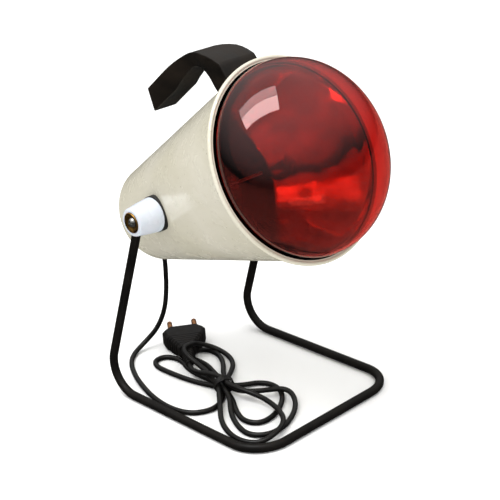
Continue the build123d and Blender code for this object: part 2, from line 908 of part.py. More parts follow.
plug_turn = radians(plug_heading)
plug_forward = Vector(cos(plug_turn), sin(plug_turn), 0)
plug_centre = Vector(*plug_face, plug_thickness / 2)
plug_top = Plane(origin=plug_centre, x_dir=plug_forward, z_dir=(0, 0, 1))
plug_axis = Axis(plug_centre, plug_forward)
relief_end = -plug_body_length - plug_relief_length
pin_root = Plane(origin=plug_centre - plug_forward * pin_embed, x_dir=(0, 0, 1), z_dir=plug_forward)
pin_base = Plane(origin=plug_centre, x_dir=(0, 0, 1), z_dir=plug_forward)
pin_spots = [(0, -pin_spacing / 2), (0, pin_spacing / 2)]


def plug_outline(gap):
    """The plug body's outline seen from above: narrow at the pins, with ears, tapering to its tail."""
    half_outline = [
        (gap, plug_face_half + gap),
        (-plug_ear_at, plug_ear_half + gap),
        (-plug_side_at, plug_side_half + gap),
        (-plug_body_length - gap, plug_tail_half + gap),
    ]
    Polyline(*half_outline, *[(along, -half) for along, half in reversed(half_outline)], close=True)


def relief_outline():
    """Half section of the tapered strain relief at the plug's tail."""
    Polyline(
        (-plug_body_length + plug_edge, 0),
        (-plug_body_length + plug_edge, relief_r),
        (relief_end, cord_r + relief_wall),
        (relief_end, 0),
        close=True,
    )


with BuildPart() as plug_body:
    with BuildSketch(plug_top):
        with BuildLine():
            plug_outline(0)
        make_face()
    extrude(amount=plug_thickness / 2, both=True)
    chamfer(edges().group_by(Axis.Z)[-1] + edges().group_by(Axis.Z)[0], plug_edge)
    with BuildSketch(plug_top):
        with BuildLine():
            relief_outline()
        make_face()
    revolve(axis=plug_axis)
    with BuildSketch(pin_root):
        with Locations(*pin_spots):
            Circle(pin_root_r)
    extrude(amount=2 * pin_embed, mode=Mode.SUBTRACT)
save(plug_body, "plug_body")

with BuildPart() as plug_pins:
    with BuildSketch(pin_root):
        with Locations(*pin_spots):
            Circle(pin_root_r)
    extrude(amount=pin_embed)
    with BuildSketch(pin_base):
        with Locations(*pin_spots):
            Circle(pin_r)
    extrude(amount=pin_length)
    tips = plug_pins.faces().sort_by(plug_axis)[-2:]
    fillet(tips.edges(), pin_tip)
save(plug_pins, "plug_pins")

# ---------------------------------------------------------------- cord, hank and tie

cord_exit = gland_axis_point + front * gland_tip_at
cord_points = [cord_exit, cord_exit - front * first_run] + [Vector(*point) for point in route_after_gland]


def corner_radius(before, corner, after):
    """The largest tidy bend at a corner: 0.45 of the shorter run over the tangent of half the turn."""
    half_turn = radians((corner - before).get_angle(after - corner)) / 2
    return 0.45 * min((corner - before).length, (after - corner).length) / tan(half_turn)


cord_radii = [corner_radius(*cord_points[i - 1 : i + 2]) for i in range(1, len(cord_points) - 1)]
print("cord bend radii", [round(radius, 1) for radius in cord_radii])

with BuildPart() as cord_lead:
    with BuildLine() as cord_path:
        FilletPolyline(*cord_points, radius=cord_radii)
    with BuildSketch(Plane(origin=cord_exit, z_dir=-front)):
        Circle(cord_r)
    sweep(path=cord_path.line)
cord_length = sum(edge.length for edge in cord_path.edges())
print("cord length", round(cord_length, 1))
print("volume over section times length", round(cord_lead.part.volume / (pi * cord_r**2 * cord_length), 4))
save(cord_lead, "cord_lead")

tie_direction = Vector(1, 0, 0).rotate(Axis.Z, tie_heading)
tie_plane = Plane(origin=(*tie_middle, 0), x_dir=tie_direction, z_dir=(0, 0, 1))
with BuildPart() as cord_hank:
    for bunch in (front_bunch, rear_bunch):
        with BuildSketch(Plane.XY):
            for middle, radius in bunch:
                with Locations(middle):
                    Circle(radius)
            make_hull()
        extrude(amount=hank_h)
    with BuildSketch(tie_plane.offset(waist_lift)):
        Rectangle(waist_length, 2 * waist_half_width)
    extrude(amount=hank_h)
    with BuildSketch(plug_top):
        with BuildLine():
            plug_outline(plug_gap)
        make_face()
    extrude(amount=plug_thickness, both=True, mode=Mode.SUBTRACT)
    with BuildSketch(plug_top):
        with BuildLine():
            relief_outline()
        make_face()
    revolve(axis=plug_axis, mode=Mode.SUBTRACT)
save(cord_hank, "cord_hank")

with BuildPart() as cord_tie:
    with BuildSketch(tie_plane.offset(tie_bottom)):
        Rectangle(2 * tie_half_length, 2 * (waist_half_width + tie_t))
    extrude(amount=hank_h + waist_lift - tie_bottom + tie_t)
    with BuildSketch(tie_plane.offset(waist_lift)):
        Rectangle(waist_length, 2 * waist_half_width)
    extrude(amount=hank_h, mode=Mode.SUBTRACT)
save(cord_tie, "cord_tie")
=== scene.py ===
"""Looks of the infrared heat lamp: materials for its frame, and the pieces that replace plain ones.

Metres, in the frame's own axes: +Z up, the lamp faces -Y. A size given in millimetres is times MM.
"""

import json
import math

import bmesh
import bpy
from mathutils import Matrix, Vector


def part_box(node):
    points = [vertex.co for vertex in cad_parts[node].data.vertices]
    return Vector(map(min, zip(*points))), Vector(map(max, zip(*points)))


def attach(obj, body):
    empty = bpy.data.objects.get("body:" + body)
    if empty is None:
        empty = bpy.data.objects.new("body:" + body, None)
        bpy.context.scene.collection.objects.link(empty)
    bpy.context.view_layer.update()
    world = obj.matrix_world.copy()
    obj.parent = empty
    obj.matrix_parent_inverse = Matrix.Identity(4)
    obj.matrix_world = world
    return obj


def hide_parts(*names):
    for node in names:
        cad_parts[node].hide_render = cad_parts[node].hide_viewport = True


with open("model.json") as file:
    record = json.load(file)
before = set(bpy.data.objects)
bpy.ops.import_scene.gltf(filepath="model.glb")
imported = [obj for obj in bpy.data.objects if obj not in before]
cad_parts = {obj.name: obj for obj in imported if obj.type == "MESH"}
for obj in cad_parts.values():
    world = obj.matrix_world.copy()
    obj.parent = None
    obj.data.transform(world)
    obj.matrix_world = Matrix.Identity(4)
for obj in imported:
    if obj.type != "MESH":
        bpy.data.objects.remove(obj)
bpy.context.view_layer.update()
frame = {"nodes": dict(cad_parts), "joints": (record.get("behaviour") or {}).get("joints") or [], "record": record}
MM = 0.001

# ---------------------------------------------------------------- places taken from the frame

joints = {joint["name"]: joint for joint in frame["joints"]}
mounts = {mount["name"]: mount for mount in frame["record"]["mounts"]}
pin_a, pin_b = mounts["plug_pin_a"], mounts["plug_pin_b"]
pivot = Vector(joints["head_tilt"]["pos_m"])
front = -Vector(joints["bulb_travel"]["axis"]).normalized()
side = Vector((1, 0, 0))
upward = front.cross(side)
plug_forward = Vector(pin_a["axis"])
plug_across = Vector((0, 0, 1)).cross(plug_forward)
between_pins = (Vector(pin_a["pos_m"]) + Vector(pin_b["pos_m"])) / 2
plug_face = between_pins - plug_forward * pin_a["dims"]["length_mm"] * MM / 2
gland_low, gland_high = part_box("cord_gland")
knob_low, knob_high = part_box("pivot_boss_right")


def placed(origin, x_axis, z_axis):
    """The matrix that puts a piece drawn along +Z at a place, with its own X and Z turned as given."""
    y_axis = z_axis.cross(x_axis)
    matrix = Matrix((x_axis, y_axis, z_axis)).transposed().to_4x4()
    matrix.translation = origin
    return matrix


HEAD = placed(pivot, side, front)
PLUG = placed(plug_face, plug_across, plug_forward)

# ---------------------------------------------------------------- camera

CAMERA_AZIMUTH = math.radians(-41.8)
CAMERA_ELEVATION = math.radians(22.4)
CAMERA_ROLL = math.radians(-4.68)
CAMERA_DISTANCE = 0.9014
CAMERA_TARGET = Vector((0.0322, 0.0324, 0.0853))
CAMERA_LENS = 92.25


def make_camera():
    """The camera, on a sphere round the lamp."""
    bpy.ops.object.camera_add()
    camera = bpy.context.object
    camera.data.lens = CAMERA_LENS
    level = Vector((math.cos(CAMERA_AZIMUTH), math.sin(CAMERA_AZIMUTH), 0))
    behind = Vector((math.sin(CAMERA_AZIMUTH), -math.cos(CAMERA_AZIMUTH), 0))
    back = behind * math.cos(CAMERA_ELEVATION) + Vector((0, 0, math.sin(CAMERA_ELEVATION)))
    right = Matrix.Rotation(CAMERA_ROLL, 3, back) @ level
    camera.matrix_world = placed(CAMERA_TARGET + back * CAMERA_DISTANCE, right, back)
    bpy.context.scene.camera = camera


make_camera()

# ---------------------------------------------------------------- materials

# Inside this radius the shade's inner wall is painted near black: painted shade in the mouth.
LIP_INNER_R = 63.4 * MM
# How far in front of the tilt axis the painted shade in the bulb's throat ends, and over what width it fades to
# silver.
THROAT_SHADE_ENDS_AT = 30 * MM
THROAT_SHADE_FADE = 3 * MM


def linear(hex_colour):
    """The linear colour of an sRGB hex value."""
    channels = [int(hex_colour[i : i + 2], 16) / 255 for i in (1, 3, 5)]
    return [c / 12.92 if c <= 0.04045 else ((c + 0.055) / 1.055) ** 2.4 for c in channels] + [1.0]


def add(owner, kind, inputs=None, **settings):
    """One node of a material or world; each input is given a value, or linked if that is a socket."""
    tree = owner.node_tree
    node = tree.nodes.new("ShaderNode" + kind)
    for name, value in settings.items():
        setattr(node, name, value)
    for name, value in (inputs or {}).items():
        if isinstance(value, bpy.types.NodeSocket):
            tree.links.new(value, node.inputs[name])
        else:
            node.inputs[name].default_value = value
    return node


def new_material(name):
    """An empty node material."""
    material = bpy.data.materials.new(name)
    material.use_nodes = True
    material.node_tree.nodes.clear()
    return material


def coated_with(material, surface):
    """A material closed with its one shader, whose constants are set on the shader's own sockets."""
    shader = add(material, "BsdfPrincipled", surface)
    add(material, "OutputMaterial", {"Surface": shader.outputs["BSDF"]})
    return material


def patches(material, size_mm, low=0.0, high=1.0, start=0.35, end=0.65, detail=3.0, stretch=(1, 1, 1)):
    """A value that wanders from low to high in patches of about a size, on the object's own coordinates.

    start and end are the part of the noise's range that is spread from low to high.
    """
    place = add(material, "TexCoord").outputs["Object"]
    scaled = add(material, "Mapping", {"Vector": place, "Scale": stretch}).outputs["Vector"]
    pattern = {"Vector": scaled, "Scale": 1 / (size_mm * MM), "Detail": detail}
    noise = add(material, "TexNoise", pattern).outputs["Fac"]
    ranged = {"Value": noise, "From Min": start, "From Max": end, "To Min": low, "To Max": high}
    return add(material, "MapRange", ranged).outputs["Result"]


def two_tones(material, factor, low, high):
    """A colour that goes between two, each a hex value or another node's output, by a factor."""
    tones = [linear(tone) if isinstance(tone, str) else tone for tone in (low, high)]
    mix = add(material, "Mix", {"Factor": factor, 6: tones[0], 7: tones[1]}, data_type="RGBA")
    return mix.outputs[2]


def grained(material, size_mm, depth_mm, detail=3.0, stretch=(1, 1, 1)):
    """The bent normal of a surface with grain of a real size and depth."""
    height = patches(material, size_mm, start=0, end=1, detail=detail, stretch=stretch)
    bump = add(material, "Bump", {"Height": height, "Distance": depth_mm * MM, "Strength": 1.0})
    return bump.outputs["Normal"]


def mottled(name, tones, size_mm, rough, grain=None, stretch=(1, 1, 1), surface=None):
    """A finish whose colour and roughness wander between two values, with its own grain (size, depth)."""
    material = new_material(name)
    tone = two_tones(material, patches(material, size_mm, stretch=stretch), *tones)
    gloss = patches(material, size_mm, *rough, stretch=stretch)
    looks = {"Base Color": tone, "Roughness": gloss, **(surface or {})}
    if grain:
        looks["Normal"] = grained(material, *grain, stretch=stretch)
    return coated_with(material, looks)


def place_in_head(material):
    """Where a point of the head is: its offset from the tilt axis, and how far forward that is."""
    place = add(material, "TexCoord").outputs["Object"]
    offset = add(material, "VectorMath", {0: place, 1: pivot}, operation="SUBTRACT").outputs["Vector"]
    forward = add(material, "VectorMath", {0: offset, 1: front}, operation="DOT_PRODUCT")
    return offset, forward.outputs["Value"]


def inside_of_shade(material):
    """1 on the inner wall of the shade, 0 on its outside and its lip."""
    offset, forward = place_in_head(material)
    on_axis = add(material, "VectorMath", {0: front, "Scale": forward}, operation="SCALE").outputs["Vector"]
    off_axis = add(material, "VectorMath", {0: offset, 1: on_axis}, operation="SUBTRACT").outputs["Vector"]
    outward = add(material, "VectorMath", {0: off_axis}, operation="NORMALIZE").outputs["Vector"]
    normal = {"Vector": add(material, "NewGeometry").outputs["True Normal"]}
    frames = {"convert_from": "WORLD", "convert_to": "OBJECT"}
    normal = add(material, "VectorTransform", normal, vector_type="NORMAL", **frames).outputs["Vector"]
    facing = add(material, "VectorMath", {0: normal, 1: outward}, operation="DOT_PRODUCT").outputs["Value"]
    ranged = {"Value": facing, "From Min": -0.3, "From Max": -0.1, "To Min": 1, "To Max": 0}
    inward = add(material, "MapRange", ranged).outputs["Result"]
    radius = add(material, "VectorMath", {0: off_axis}, operation="LENGTH").outputs["Value"]
    within = add(material, "Math", {0: radius, 1: LIP_INNER_R}, operation="LESS_THAN").outputs[0]
    return add(material, "Math", {0: inward, 1: within}, operation="MULTIPLY").outputs[0]


def cream_enamel():
    """Baked enamel on spun aluminium: warm ivory gloss, a little uneven, with fine dust specks.

    The inner wall is painted near black: painted shade, which gives the mouth its dark band inside the ivory lip.
    """
    material = new_material("cream_enamel")
    paint = two_tones(material, patches(material, 45), "#C1BCA9", "#C9C4B4")
    # Dust specks are 0.1 mm across on real paint, and drawn from a 1.6 mm noise so that they show.
    specks = patches(material, 1.6, start=0.72, end=0.8, detail=1.0)
    paint = two_tones(material, specks, paint, "#8F8771")
    # The inner wall, within the lip, is painted near black: painted shade in the mouth.
    inside = inside_of_shade(material)
    gloss = patches(material, 12, 0.2, 0.3)
    surface = {
        "Base Color": two_tones(material, inside, paint, "#0B0A09"),
        "Roughness": add(material, "Math", {0: gloss, 1: inside}, operation="MAXIMUM").outputs[0],
        "Normal": grained(material, 9, 0.003),
        "IOR": 1.5,
        "Coat Weight": 0.35,
        "Coat Roughness": 0.08,
    }
    return coated_with(material, surface)


def red_glass():
    """Ruby-stained blown glass: clear, deep red, smooth as fire-polished glass is."""
    material = new_material("red_glass")
    depth = patches(material, 35, detail=1.0)
    surface = {
        "Base Color": two_tones(material, depth, "#CC4C40", "#D4564A"),
        "Roughness": patches(material, 20, 0.0, 0.02),
        "Normal": grained(material, 30, 0.12, detail=0.0),
        "IOR": 1.5,
        "Transmission Weight": 1.0,
    }
    return coated_with(material, surface)


def evaporated_aluminium():
    """The reflector coat inside the bulb: a mirror with the soft waves of blown glass under it.

    Towards the neck it is painted near black: painted shade, so the throat behind it looks dark.
    """
    material = new_material("evaporated_aluminium")
    silver = two_tones(material, patches(material, 25), "#BDBBB8", "#E2E0DE")
    forward = place_in_head(material)[1]
    # Near black up to the end of the throat, silver beyond it: painted shade in the bulb's throat.
    ends = {"From Min": THROAT_SHADE_ENDS_AT, "From Max": THROAT_SHADE_ENDS_AT + THROAT_SHADE_FADE}
    past_throat_shade = add(material, "MapRange", {"Value": forward, **ends}).outputs["Result"]
    surface = {
        "Base Color": two_tones(material, past_throat_shade, "#0A0807", silver),
        "Roughness": patches(material, 12, 0.05, 0.12),
        "Normal": grained(material, 30, 0.35, detail=0.0),
        "Metallic": 1.0,
    }
    return coated_with(material, surface)


def clear_glass():
    """Clear lead glass of the stem: almost colourless, with a little haze."""
    material = new_material("clear_glass")
    surface = {
        "Base Color": two_tones(material, patches(material, 6), "#E4EAE8", "#F4F7F6"),
        "Roughness": patches(material, 6, 0.01, 0.05),
        "IOR": 1.55,
        "Transmission Weight": 1.0,
    }
    return coated_with(material, surface)


METAL = {"Metallic": 1.0}
FLEX = {"IOR": 1.53}
DULL = {"Specular IOR Level": 0.2}

# Grain is (size, depth) in millimetres.
MATERIALS = {
    # Satin powder coat on steel rod: brown-black, with a fine orange-peel grain.
    "rod_black": mottled(
        "black_powder_coat", ("#0B0908", "#14110E"), 18, (0.42, 0.55), (0.8, 0.03),
        surface={"Specular IOR Level": 0.16},
    ),
    # Gloss-moulded ABS: cool white, slightly translucent.
    "boss_white": mottled(
        "white_abs", ("#C0C5CD", "#C9CED6"), 20, (0.24, 0.32), (2.5, 0.01),
        surface={"IOR": 1.54, "Subsurface Weight": 0.05},
    ),
    # Turned brass, handled and gone brown in places.
    "cup_brass": mottled("aged_brass", ("#7A5526", "#C0934E"), 3, (0.22, 0.42), (0.6, 0.01), surface=METAL),
    # Chromium plate over steel: bright, with faint wear.
    "screw_chrome": mottled("polished_chrome", ("#B9B8B2", "#DADAD8"), 2, (0.08, 0.2), surface=METAL),
    # Bright zinc plate: grey with faint crystal patches.
    "zinc_steel": mottled(
        "zinc_plate", ("#8E9091", "#B4B6B8"), 2.5, (0.28, 0.45), (0.7, 0.01), surface=METAL
    ),
    "shade_cream": cream_enamel(),
    # The heat liner inside the mouth, matt near black: painted shade, so the mouth reads as a dark band.
    "liner_black": mottled("liner_shade_black", ("#090807", "#110F0D"), 15, (0.6, 0.75), (1.2, 0.03)),
    # Vulcanised fibre: dull black with short fibres.
    "fibre_black": mottled(
        "pressed_fibre", ("#0E0D0C", "#1B1917"), 2.5, (0.6, 0.8), (0.9, 0.05), stretch=(1, 0.25, 1)
    ),
    # Phenolic moulding: brown-black, satin where handled, with a faint flow pattern.
    "handle_black": mottled(
        "phenolic_moulding", ("#0E0B08", "#1C150E"), 14, (0.34, 0.5), (2.0, 0.03),
        stretch=(1, 0.4, 1), surface=DULL,
    ),
    # Glazed steatite: off-white ceramic with a thin glaze.
    "ceramic_white": mottled(
        "glazed_steatite", ("#D8D2C6", "#E9E4DA"), 8, (0.25, 0.4), (1.5, 0.02), surface={"Coat Weight": 0.5}
    ),
    "bulb_red": red_glass(),
    "mirror_coat": evaporated_aluminium(),
    # Nickel-plated brass of a lamp cap: pale, with the brass showing through a little.
    "cap_brass": mottled("nickel_plate", ("#9C8F76", "#C9BEA6"), 4, (0.25, 0.4), (0.8, 0.01), surface=METAL),
    # Black glass that insulates the cap's contact: a wet gloss.
    "insulator_black": mottled(
        "black_cap_glass", ("#07070A", "#121216"), 3, (0.08, 0.16), surface={"IOR": 1.52}
    ),
    "glass_clear": clear_glass(),
    # Tungsten and nickel wire: dark grey metal with drawing marks along it.
    "tungsten_grey": mottled(
        "drawn_tungsten", ("#4C4C50", "#77777C"), 1.5, (0.3, 0.5), stretch=(1, 1, 0.2), surface=METAL
    ),
    # Extruded PVC flex: soft satin black with a faint bloom.
    "cable_black": mottled(
        "extruded_pvc", ("#0A0908", "#151311"), 9, (0.3, 0.42), (1.0, 0.02),
        surface={"Specular IOR Level": 0.3},
    ),
    # PVC insulation of the flex's two cores, in their own colours.
    "core_brown": mottled("brown_insulation", ("#4A2A14", "#5C361C"), 5, (0.35, 0.5), surface=FLEX),
    "core_blue": mottled("blue_insulation", ("#1C4C94", "#2A5FAE"), 5, (0.35, 0.5), surface=FLEX),
    # Moulded PVC of the plug: duller than the flex, with a spark-eroded texture.
    "plug_black": mottled("moulded_pvc", ("#0B0908", "#161311"), 6, (0.45, 0.6), (0.8, 0.04), surface=DULL),
    # Unplated pin metal: reddish, lightly tarnished.
    "pin_copper": mottled(
        "copper_alloy", ("#B87645", "#E0A26C"), 3, (0.25, 0.42), (0.7, 0.01), surface=METAL
    ),
}

for part in frame["record"]["subparts"]:
    mesh = frame["nodes"][part["node"]].data
    mesh.materials.clear()
    mesh.materials.append(MATERIALS[part["material_slot"]])

# ---------------------------------------------------------------- ways of making a piece


def only(piece):
    """Select one piece and nothing else."""
    bpy.ops.object.select_all(action="DESELECT")
    piece.select_set(True)
    bpy.context.view_layer.objects.active = piece


def drawn(name, rings, hollow=False, pointed=False):
    """A piece drawn out ring by ring from a polygon: closed at both ends, or hollow with its last
    ring joined to its first, or pointed with its last ring drawn to one point."""
    bpy.ops.object.select_all(action="DESELECT")
    bpy.ops.mesh.primitive_circle_add(vertices=len(rings[0]), fill_type="NOTHING" if hollow else "NGON")
    piece = bpy.context.object
    piece.name = name
    piece.data.name = name
    piece.matrix_world = Matrix.Identity(4)
    bpy.ops.object.mode_set(mode="EDIT")
    bpy.ops.mesh.select_all(action="SELECT")
    mesh = bmesh.from_edit_mesh(piece.data)
    mesh.verts.ensure_lookup_table()
    spots = [Vector(point) for point in rings[0]]
    for vertex, spot in zip(mesh.verts, spots):
        vertex.co = spot
    for ring in rings[1:]:
        bpy.ops.mesh.extrude_region_move()
        mesh = bmesh.from_edit_mesh(piece.data)
        targets = [Vector(point) for point in ring]
        for vertex in [v for v in mesh.verts if v.select]:
            nearest = min(range(len(spots)), key=lambda i: (spots[i] - vertex.co).length_squared)
            vertex.co = targets[nearest]
        spots = targets
        bmesh.update_edit_mesh(piece.data)
    if pointed:
        bpy.ops.mesh.merge(type="CENTER")
    bpy.ops.mesh.select_all(action="SELECT")
    if hollow:
        bpy.ops.mesh.remove_doubles(threshold=1e-7)
    bpy.ops.mesh.normals_make_consistent(inside=False)
    bpy.ops.object.mode_set(mode="OBJECT")
    return piece


def round_ring(height, radius, sides=64):
    """A circle of points at a height."""
    turns = [2 * math.pi * i / sides for i in range(sides)]
    return [(radius * math.cos(turn), radius * math.sin(turn), height) for turn in turns]


def turned(name, outline, sides=64, **ends):
    """A piece turned about Z from an outline of (height, radius) in millimetres."""
    return drawn(name, [round_ring(h * MM, r * MM, sides) for h, r in outline], **ends)


def arc(start, middle, end, steps):
    """Points after start, up to end, on the circle through three points of a plane."""
    (ax, ay), (bx, by), (cx, cy) = start, middle, end
    d = 2 * (ax * (by - cy) + bx * (cy - ay) + cx * (ay - by))
    a2, b2, c2 = ax * ax + ay * ay, bx * bx + by * by, cx * cx + cy * cy
    ox = (a2 * (by - cy) + b2 * (cy - ay) + c2 * (ay - by)) / d
    oy = (a2 * (cx - bx) + b2 * (ax - cx) + c2 * (bx - ax)) / d
    radius = math.hypot(ax - ox, ay - oy)
    first = math.atan2(ay - oy, ax - ox)
    sweep = (math.atan2(cy - oy, cx - ox) - first + math.pi) % (2 * math.pi) - math.pi
    turns = [first + sweep * i / steps for i in range(1, steps + 1)]
    return [(ox + radius * math.cos(turn), oy + radius * math.sin(turn)) for turn in turns]


def quarter_round(height, radius, edge, steps):
    """Outline points of a rounded outer corner that ends at a height."""
    turns = [math.pi / 2 * i / steps for i in range(steps + 1)]
    return [(height - edge * (1 - math.sin(turn)), radius - edge * (1 - math.cos(turn))) for turn in turns]


def modified(piece, kind, **settings):
    """Add a modifier to a piece and apply it."""
    only(piece)
    modifier = piece.modifiers.new(kind.title(), kind)
    for name, value in settings.items():
        setattr(modifier, name, value)
    bpy.ops.object.modifier_apply(modifier=modifier.name)
    return piece


def eased(piece, width_mm, segments, from_degrees):
    """Bevel the edges of a piece that are sharper than an angle."""
    edges = {"limit_method": "ANGLE", "angle_limit": math.radians(from_degrees)}
    return modified(piece, "BEVEL", width=width_mm * MM, segments=segments, **edges)


def settle(piece, matrix, body, slot, *replaced, angle=35):
    """Put a piece in place, smooth it, paint it, and hand it to its body."""
    only(piece)
    piece.matrix_world = matrix
    bpy.ops.object.transform_apply(location=True, rotation=True, scale=True)
    bpy.ops.object.shade_smooth_by_angle(angle=math.radians(angle))
    piece.data.materials.clear()
    piece.data.materials.append(MATERIALS[slot])
    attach(piece, body)
    if replaced:
        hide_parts(*replaced)
    return piece


# ---------------------------------------------------------------- cord, hank and plug

CORD_D = 3.6 * MM
CORD_FIRST_RUN = 8.8 * MM
CORD_IN_RELIEF = 4 * MM
GLAND_UP = -21.5
GLAND_TIP_AT = -72.5
gland_axis = pivot + side * (gland_low.x + gland_high.x) / 2 + upward * GLAND_UP * MM
cord_exit = gland_axis + front * GLAND_TIP_AT * MM

TIE = Vector((-0.018, 0.0135, 0))
TIE_TURN = math.radians(60)
TIE_ALONG = Vector((math.cos(TIE_TURN), math.sin(TIE_TURN), 0))
TIE_ACROSS = Vector((math.sin(TIE_TURN), -math.cos(TIE_TURN), 0))
TIE_HALF = 4 * MM
TIE_WIRE_R = 0.6 * MM

PLUG_TAIL_AT, PLUG_TAIL_HALF = -33.0, 5.6
PLUG_FLANK_AT, PLUG_FLANK_HALF = -14.0, 14.6
PLUG_EAR_AT, PLUG_EAR_HALF = -6.0, 16.2
PLUG_HALF_HEIGHT, PLUG_TAIL_HALF_HEIGHT = 6.6, 5.4
PLUG_CORNER, PLUG_END_CORNER = 2.2, 2.0
RELIEF_END_AT = -53.0
PIN_R, PIN_ROOT_R, PIN_TIP_AT, PIN_OFF_CENTRE = 2.0, 1.7, 19.0, 9.3

ROUTE_TO_HANK = [
    (0.0089, 0.1009, 0.0764),
    (0.0085, 0.1002, 0.0630),
    (0.0076, 0.1010, 0.0445),
    (0.0050, 0.1025, 0.0285),
    (-0.0015, 0.1055, 0.0150),
    (-0.0110, 0.1105, 0.0055),
    (-0.0225, 0.1090, 0.0018),
    (-0.0330, 0.1000, 0.0018),
    (-0.0420, 0.0860, 0.0018),
    (-0.0500, 0.0680, 0.0018),
    (-0.0570, 0.0460, 0.0018),
    (-0.0595, 0.0250, 0.0018),
    (-0.0560, 0.0085, 0.0018),
    (-0.0450, 0.0005, 0.0018),
    (-0.0345, 0.0015, 0.0018),
    (-0.0260, 0.0075, 0.0020),
]
# The hank's loops, from the tie and back to it: rear ones go away from the lamp's front, front ones
# towards it. Where one crosses another it goes over in a low hump.
REAR_LEFT_LOOP = [
    (-0.0215, 0.0305, 0.0018),
    (-0.0245, 0.0450, 0.0018),
    (-0.0257, 0.0590, 0.0018),
    (-0.0260, 0.0705, 0.0018),
    (-0.0256, 0.0795, 0.0018),
    (-0.0212, 0.0870, 0.0018),
    (-0.0125, 0.0870, 0.0018),
    (-0.0082, 0.0785, 0.0018),
    (-0.0094, 0.0680, 0.0018),
    (-0.0132, 0.0600, 0.0018),
    (-0.0155, 0.0460, 0.0018),
    (-0.0150, 0.0310, 0.0018),
]
FRONT_INNER_LOOP = [
    (-0.0245, -0.0010, 0.0018),
    (-0.0330, -0.0130, 0.0018),
    (-0.0395, -0.0270, 0.0018),
    (-0.0350, -0.0385, 0.0018),
    (-0.0215, -0.0385, 0.0018),
    (-0.0070, -0.0310, 0.0018),
    (0.0050, -0.0195, 0.0018),
    (0.0085, -0.0060, 0.0018),
    (0.0035, 0.0035, 0.0018),
    (-0.0045, 0.0068, 0.0024),
    (-0.0128, 0.0128, 0.0030),
    (-0.0098, 0.0225, 0.0026),
]
REAR_INNER_LOOP = [
    (-0.0020, 0.0335, 0.0018),
    (0.0080, 0.0440, 0.0018),
    (0.0150, 0.0560, 0.0018),
    (0.0162, 0.0665, 0.0018),
    (0.0120, 0.0745, 0.0018),
    (0.0035, 0.0745, 0.0018),
    (-0.0012, 0.0665, 0.0018),
    (-0.0005, 0.0540, 0.0018),
    (-0.0045, 0.0420, 0.0018),
    (-0.0105, 0.0290, 0.0035),
]
FRONT_MIDDLE_LOOP = [
    (-0.0270, -0.0010, 0.0045),
    (-0.0365, -0.0115, 0.0018),
    (-0.0455, -0.0265, 0.0018),
    (-0.0500, -0.0430, 0.0018),
    (-0.0410, -0.0535, 0.0018),
    (-0.0240, -0.0535, 0.0018),
    (-0.0020, -0.0410, 0.0025),
    (0.0075, -0.0235, 0.0056),
    (-0.0090, -0.0115, 0.0056),
    (-0.0178, -0.0010, 0.0056),
]
REAR_RIGHT_LOOP = [
    (-0.0080, 0.0210, 0.0054),
    (0.0015, 0.0285, 0.0032),
    (0.0120, 0.0375, 0.0018),
    (0.0190, 0.0500, 0.0018),
    (0.0185, 0.0640, 0.0040),
    (0.0095, 0.0705, 0.0090),
    (0.0000, 0.0690, 0.0134),
    (-0.0085, 0.0685, 0.0134),
    (-0.0128, 0.0595, 0.0118),
    (-0.0118, 0.0470, 0.0074),
    (-0.0145, 0.0340, 0.0058),
    (-0.0182, 0.0260, 0.0056),
]
FRONT_OUTER_LOOP = [
    (-0.0300, 0.0065, 0.0058),
    (-0.0380, -0.0030, 0.0046),
    (-0.0510, -0.0180, 0.0018),
    (-0.0590, -0.0400, 0.0018),
    (-0.0540, -0.0555, 0.0018),
    (-0.0420, -0.0590, 0.0040),
    (-0.0270, -0.0545, 0.0056),
    (-0.0180, -0.0400, 0.0056),
    (-0.0140, -0.0200, 0.0060),
    (-0.0195, -0.0040, 0.0092),
]
TAIL_TO_PLUG = [
    (-0.0178, 0.0270, 0.0100),
    (-0.0205, 0.0370, 0.0085),
    (-0.0192, 0.0465, 0.0068),
]


def through_tie(across_mm, height_mm, rearward):
    """Two points of the cord, one each side of the tie, in one place of its bundle."""
    middle = TIE + TIE_ACROSS * across_mm * MM + Vector((0, 0, height_mm * MM))
    ends = [middle - TIE_ALONG * TIE_HALF, middle + TIE_ALONG * TIE_HALF]
    return ends if rearward else ends[::-1]


def cord_points():
    """The whole cord's points: down from the lamp, seven times past the tie, and into the plug."""
    relief_mouth = plug_face + plug_forward * RELIEF_END_AT * MM
    return [
        cord_exit,
        cord_exit - front * CORD_FIRST_RUN,
        *ROUTE_TO_HANK,
        *through_tie(-3.6, 3.0, True),
        *REAR_LEFT_LOOP,
        *through_tie(0.0, 3.0, False),
        *FRONT_INNER_LOOP,
        *REAR_INNER_LOOP,
        *through_tie(-1.8, 6.1, False),
        *FRONT_MIDDLE_LOOP,
        *through_tie(1.8, 6.1, True),
        *REAR_RIGHT_LOOP,
        *through_tie(-5.3, 6.1, False),
        *FRONT_OUTER_LOOP,
        *through_tie(0.0, 9.2, True),
        *TAIL_TO_PLUG,
        relief_mouth - plug_forward * CORD_IN_RELIEF,
        relief_mouth + plug_forward * CORD_IN_RELIEF,
    ]


def round_curve(name, points, radius, resolution=12):
    """A smooth round line through space: a NURBS curve with these control points."""
    curve = bpy.data.curves.new(name, "CURVE")
    curve.dimensions = "3D"
    spline = curve.splines.new("NURBS")
    spline.points.add(len(points) - 1)
    for point, place in zip(spline.points, points):
        point.co = (*place, 1)
    spline.order_u = 3
    spline.use_endpoint_u = True
    curve.resolution_u = resolution
    curve.bevel_depth = radius
    curve.bevel_resolution = 5
    curve.use_fill_caps = True
    piece = bpy.data.objects.new(name, curve)
    bpy.context.scene.collection.objects.link(piece)
    return piece


def make_cord():
    """The mains flex, one smooth line from the gland to the plug."""
    piece = round_curve("mains_flex", cord_points(), CORD_D / 2)
    piece.data.materials.append(MATERIALS["cable_black"])
    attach(piece, "stand")
    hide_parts("cord_lead", "cord_hank")
    return piece


